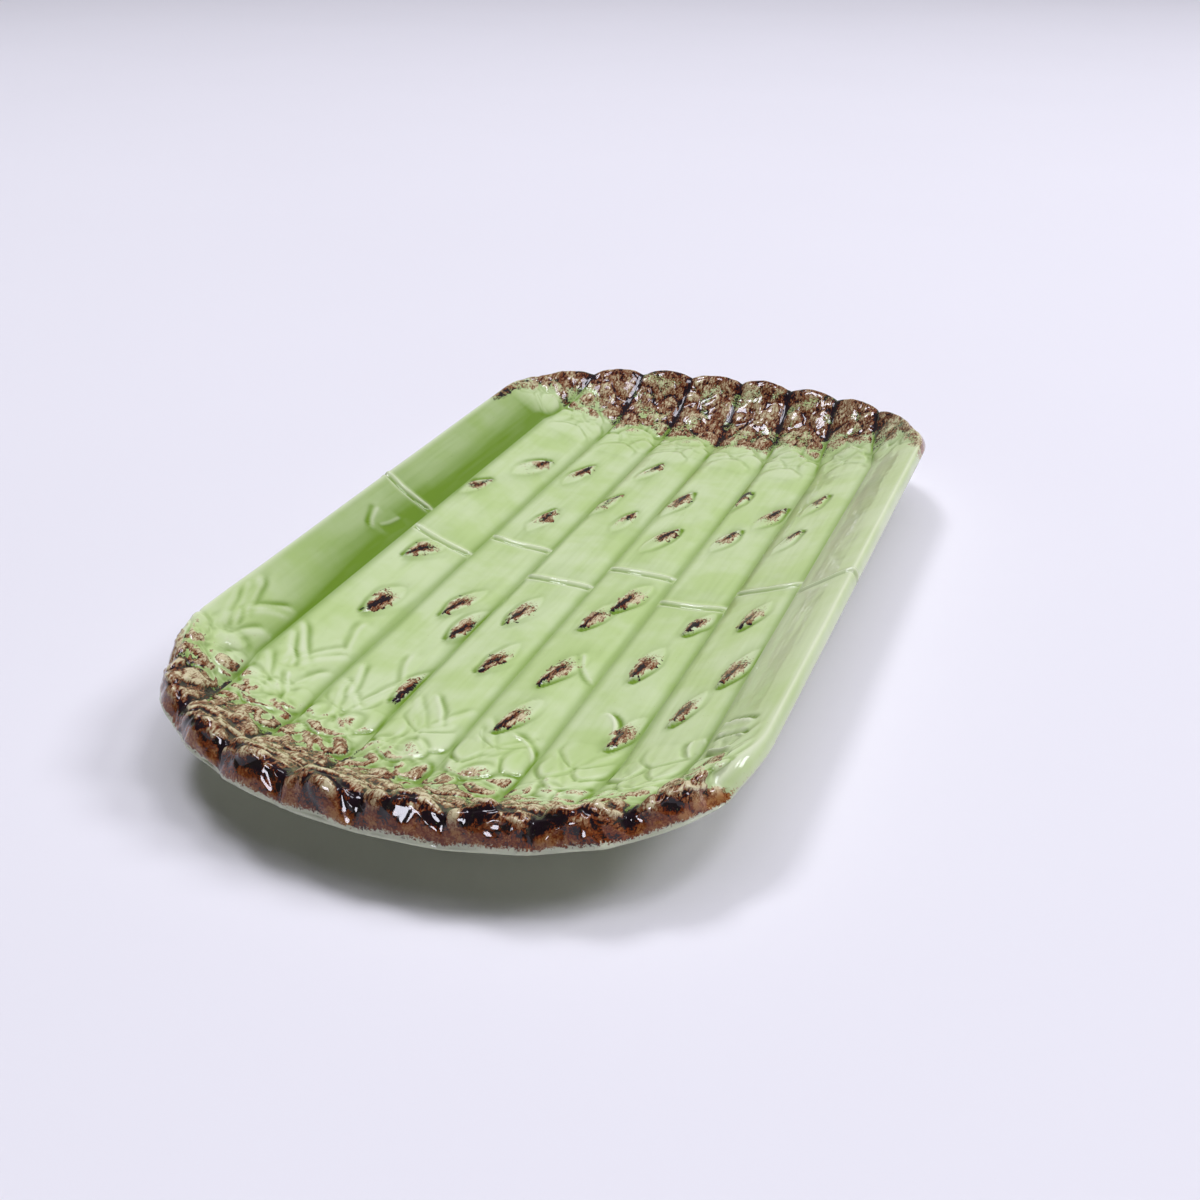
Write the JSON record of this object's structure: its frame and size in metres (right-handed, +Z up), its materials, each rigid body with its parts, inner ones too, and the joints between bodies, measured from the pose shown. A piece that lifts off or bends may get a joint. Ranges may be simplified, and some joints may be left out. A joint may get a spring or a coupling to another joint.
{
  "type": "serving platter",
  "caption": "Long glazed earthenware serving dish moulded as a raft of asparagus spears, with rolled brown tips over both bowed ends and a foot ring.",
  "frame": {"origin": "on the table, under the middle of the dish", "axes": "+Y along the spears towards the far end, +X across the dish to the right, +Z up from the table"},
  "size_m": [0.198, 0.3756, 0.0377],
  "materials": {
    "green_glaze": "glossy pale green glaze",
    "brown_glaze": "glossy mottled brown glaze",
    "cream_glaze": "glossy cream glaze, dry on the standing face"
  },
  "bodies": {
    "root": {"foot_ring": "cream_glaze", "near_stalk_1": "green_glaze", "near_stalk_2": "green_glaze", "near_stalk_3": "green_glaze", "near_stalk_4": "green_glaze", "near_stalk_5": "green_glaze", "near_stalk_6": "green_glaze", "near_stalk_7": "green_glaze", "near_stalk_8": "green_glaze", "far_stalk_1": "green_glaze", "far_stalk_2": "green_glaze", "far_stalk_3": "green_glaze", "far_stalk_4": "green_glaze", "far_stalk_5": "green_glaze", "far_stalk_6": "green_glaze", "far_stalk_7": "green_glaze", "far_stalk_8": "green_glaze", "near_tip_1": "brown_glaze", "near_tip_2": "brown_glaze", "near_tip_3": "brown_glaze", "near_tip_4": "brown_glaze", "near_tip_5": "brown_glaze", "near_tip_6": "brown_glaze", "near_tip_7": "brown_glaze", "near_tip_8": "brown_glaze", "far_tip_1": "brown_glaze", "far_tip_2": "brown_glaze", "far_tip_3": "brown_glaze", "far_tip_4": "brown_glaze", "far_tip_5": "brown_glaze", "far_tip_6": "brown_glaze", "far_tip_7": "brown_glaze", "far_tip_8": "brown_glaze"}
  },
  "joints": []
}
